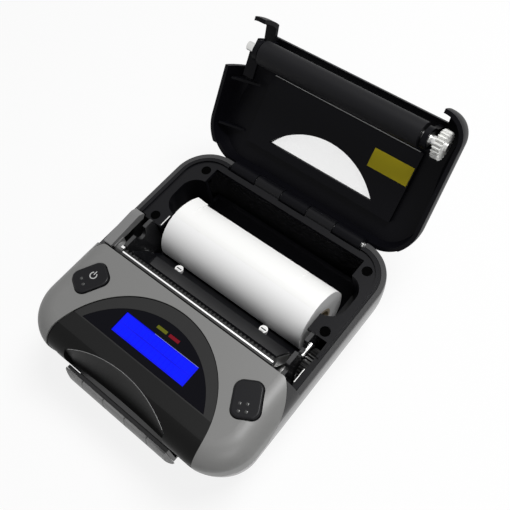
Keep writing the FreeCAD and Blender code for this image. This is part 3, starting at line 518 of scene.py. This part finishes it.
bm = bmesh.new()
rows = [tail_row(x, lift) for x, lift in TAIL_LIFTS]
sheets = []
for layer in (0.0, TAIL_THICKNESS):
    sheets.append([[bm.verts.new((p + Vector((0, 0, layer))) * MM) for p in row] for row in rows])
for sheet in sheets:
    for first, second in zip(sheet, sheet[1:]):
        for k in range(TAIL_STEPS):
            bm.faces.new((first[k], first[k + 1], second[k + 1], second[k]))
low, high = (rim_of(sheet) for sheet in sheets)
for k in range(len(low)):
    m = (k + 1) % len(low)
    bm.faces.new((low[k], low[m], high[m], high[k]))
piece("paper_tail", bm, "tail", "roll")


# Bright leaf springs, a clip and a strip in the pockets; the strip on the bucket's left edge is a painted
# highlight

def strip(name, low, high, body, look):
    bm = bmesh.new()
    (x0, y0, z0), (x1, y1, z1) = low, high
    slab(bm, [(x0, y0, z0), (x1, y0, z0), (x1, y1, z0), (x0, y1, z0)], z1 - z0)
    piece(name, bm, look, body)


strip("leaf_spring_outer", (50.45, -9.0, 36.4), (50.75, -2.4, 38.6), "base", "spring")
strip("leaf_spring_inner", (46.05, 1.8, 35.6), (46.35, 8.2, 37.4), "base", "spring")
# Painted highlight: bright strip along the bucket's left edge.
strip("bucket_edge_highlight", (-41.75, 12.2, 38.9), (-41.35, 18.2, 39.2), "base", "spring")
strip("blade_clip", (-45.6, -7.6, 42.45), (-43.9, -6.5, 43.3), "base", "spring")

# Web and gussets inside the cover's left corner
WEB_Z = 42.7
WEB_THICKNESS = 1.5
GUSSET_THICKNESS = 1.0
GUSSETS_Y = (20.0, 42.0)
COVER_FALL = 0.1
web = [(-43.6, -1.8), (-43.6, 17.0), (-49.2, 17.0), (-49.2, 6.0), (-47.8, 3.0), (-47.0, -0.6)]
bm = bmesh.new()
slab(bm, [opened((x, y, WEB_Z)) for x, y in web], WEB_THICKNESS)
piece("cover_web", bm, "cover", "cover")
for i, y in enumerate(GUSSETS_Y):
    drop = COVER_FALL * (y - GUSSETS_Y[0])
    corners = [(-54.2, y, 42.0), (-53.0, y, 49.0 - drop), (-43.5, y, 50.4 - drop)]
    bm = bmesh.new()
    slab(bm, [opened(c) for c in corners], GUSSET_THICKNESS)
    piece(f"cover_gusset_{i}", bm, "cover", "cover")

# Painted highlight along the front edge of the cover's liner, behind the roller
EDGE_HALF = 38
EDGE_Y = (13.2, 13.45)
EDGE_Z = 51.5
bm = bmesh.new()
corners = [(-EDGE_HALF, EDGE_Y[0]), (EDGE_HALF, EDGE_Y[0]), (EDGE_HALF, EDGE_Y[1]), (-EDGE_HALF, EDGE_Y[1])]
slab(bm, [opened((x, y, EDGE_Z)) for x, y in corners], 0.3)
piece("liner_edge_highlight", bm, "edge", "cover")

# Bright slotted caps on the two head screws
CAP_CENTRE = Vector((0, 3.1, 30.75))
CAP_TILT = -12
CAP_PITCH = (48.4, 1.0)
tilt = Matrix.Translation(CAP_CENTRE * MM) @ Matrix.Rotation(math.radians(CAP_TILT), 4, "X")
caps = repeat_grid("screw_caps", "disc", 2, 1, CAP_PITCH, (3.8, 3.8, 0.6), "screw")
put(caps, tilt, "head")
# Near-black slots: painted shade in the screw slots.
slots = repeat_grid("screw_slots", "block", 2, 1, CAP_PITCH, (2.6, 0.55, 0.68), "hole")
put(slots, tilt, "head")

# Dark line in the joint around the bezel
BEZEL_CENTRE = (0.0, -56.0)
LINE_RADII = (40.7, 41.05)
LINE_Z = (45.42, 45.58)
bm = bmesh.new()
arc_band(bm, BEZEL_CENTRE, *LINE_RADII, 20, 160, *LINE_Z, 90)
piece("bezel_line", bm, "hole", "base")

# Floor and studio
FLOOR_HALF = 6.0
FLOOR_Z = -0.00005
bm = bmesh.new()
bmesh.ops.create_grid(bm, x_segments=1, y_segments=1, size=FLOOR_HALF)
floor_mesh = bpy.data.meshes.new("floor")
bm.to_mesh(floor_mesh)
bm.free()
floor = bpy.data.objects.new("floor", floor_mesh)
floor.location = (0, 0, FLOOR_Z)
scene.collection.objects.link(floor)


def white_to_camera(tree, out, shaded, share):
    """White for that share where the camera, a reflection or a clear sheet looks; shaded for the rest."""
    path = tree.nodes.new("ShaderNodeLightPath")
    seen = path.outputs["Is Camera Ray"]
    for kind in ("Is Glossy Ray", "Is Transmission Ray"):
        either = tree.nodes.new("ShaderNodeMath")
        either.operation = "MAXIMUM"
        tree.links.new(seen, either.inputs[0])
        tree.links.new(path.outputs[kind], either.inputs[1])
        seen = either.outputs["Value"]
    part = tree.nodes.new("ShaderNodeMath")
    part.operation = "MULTIPLY"
    tree.links.new(seen, part.inputs[0])
    part.inputs[1].default_value = share
    glow = tree.nodes.new("ShaderNodeEmission")
    glow.inputs["Color"].default_value = (1.0, 1.0, 1.0, 1.0)
    glow.inputs["Strength"].default_value = 1.0
    mix = tree.nodes.new("ShaderNodeMixShader")
    tree.links.new(part.outputs["Value"], mix.inputs["Fac"])
    tree.links.new(shaded, mix.inputs[1])
    tree.links.new(glow.outputs["Emission"], mix.inputs[2])
    tree.links.new(mix.outputs["Shader"], out)


floor_look = bpy.data.materials.new("floor_white")
floor_look.use_nodes = True
tree = floor_look.node_tree
principled = tree.nodes["Principled BSDF"]
principled.inputs["Base Color"].default_value = (0.8, 0.8, 0.8, 1.0)
principled.inputs["Roughness"].default_value = 0.9
principled.inputs["Specular IOR Level"].default_value = 0.0
white_to_camera(tree, tree.nodes["Material Output"].inputs["Surface"], principled.outputs["BSDF"], 0.85)
floor_mesh.materials.append(floor_look)

world = bpy.data.worlds.new("studio")
scene.world = world
world.use_nodes = True
sky = world.node_tree.nodes["Background"]
sky.inputs["Color"].default_value = (1.0, 1.0, 1.0, 1.0)
sky.inputs["Strength"].default_value = 0.10
white_to_camera(world.node_tree, world.node_tree.nodes["World Output"].inputs["Surface"],
                sky.outputs["Background"], 1.0)


def soft_light(name, place, aim, size, watts):
    data = bpy.data.lights.new(name, "AREA")
    data.shape = "RECTANGLE"
    data.size, data.size_y = size
    data.energy = watts
    obj = bpy.data.objects.new(name, data)
    obj.location = place
    obj.rotation_euler = (Vector(aim) - Vector(place)).to_track_quat("-Z", "Y").to_euler()
    scene.collection.objects.link(obj)


soft_light("key_light", (0.22, 0.34, 0.90), (0, 0, 0.03), (0.4, 0.4), 10.0)
soft_light("fill_light", (0.55, -0.30, 0.55), (0, 0, 0.04), (0.3, 0.3), 1.2)

# Camera
camera_data = bpy.data.cameras.new("camera")
camera_data.lens = 51.06
camera_data.sensor_width = 36.0
camera_data.clip_start = 0.01
camera = bpy.data.objects.new("camera", camera_data)
right = Vector((0.76147549, 0.63714173, -0.1191868))
up = Vector((-0.5077986, 0.70065333, 0.50122399))
back = Vector((0.40285935, -0.32114689, 0.85707002))
turn = Matrix((right, up, back)).transposed()
camera.matrix_world = Matrix.Translation((0.126288, -0.073531, 0.302639)) @ turn.to_4x4()
scene.collection.objects.link(camera)
scene.camera = camera
scene.view_settings.view_transform = "Standard"
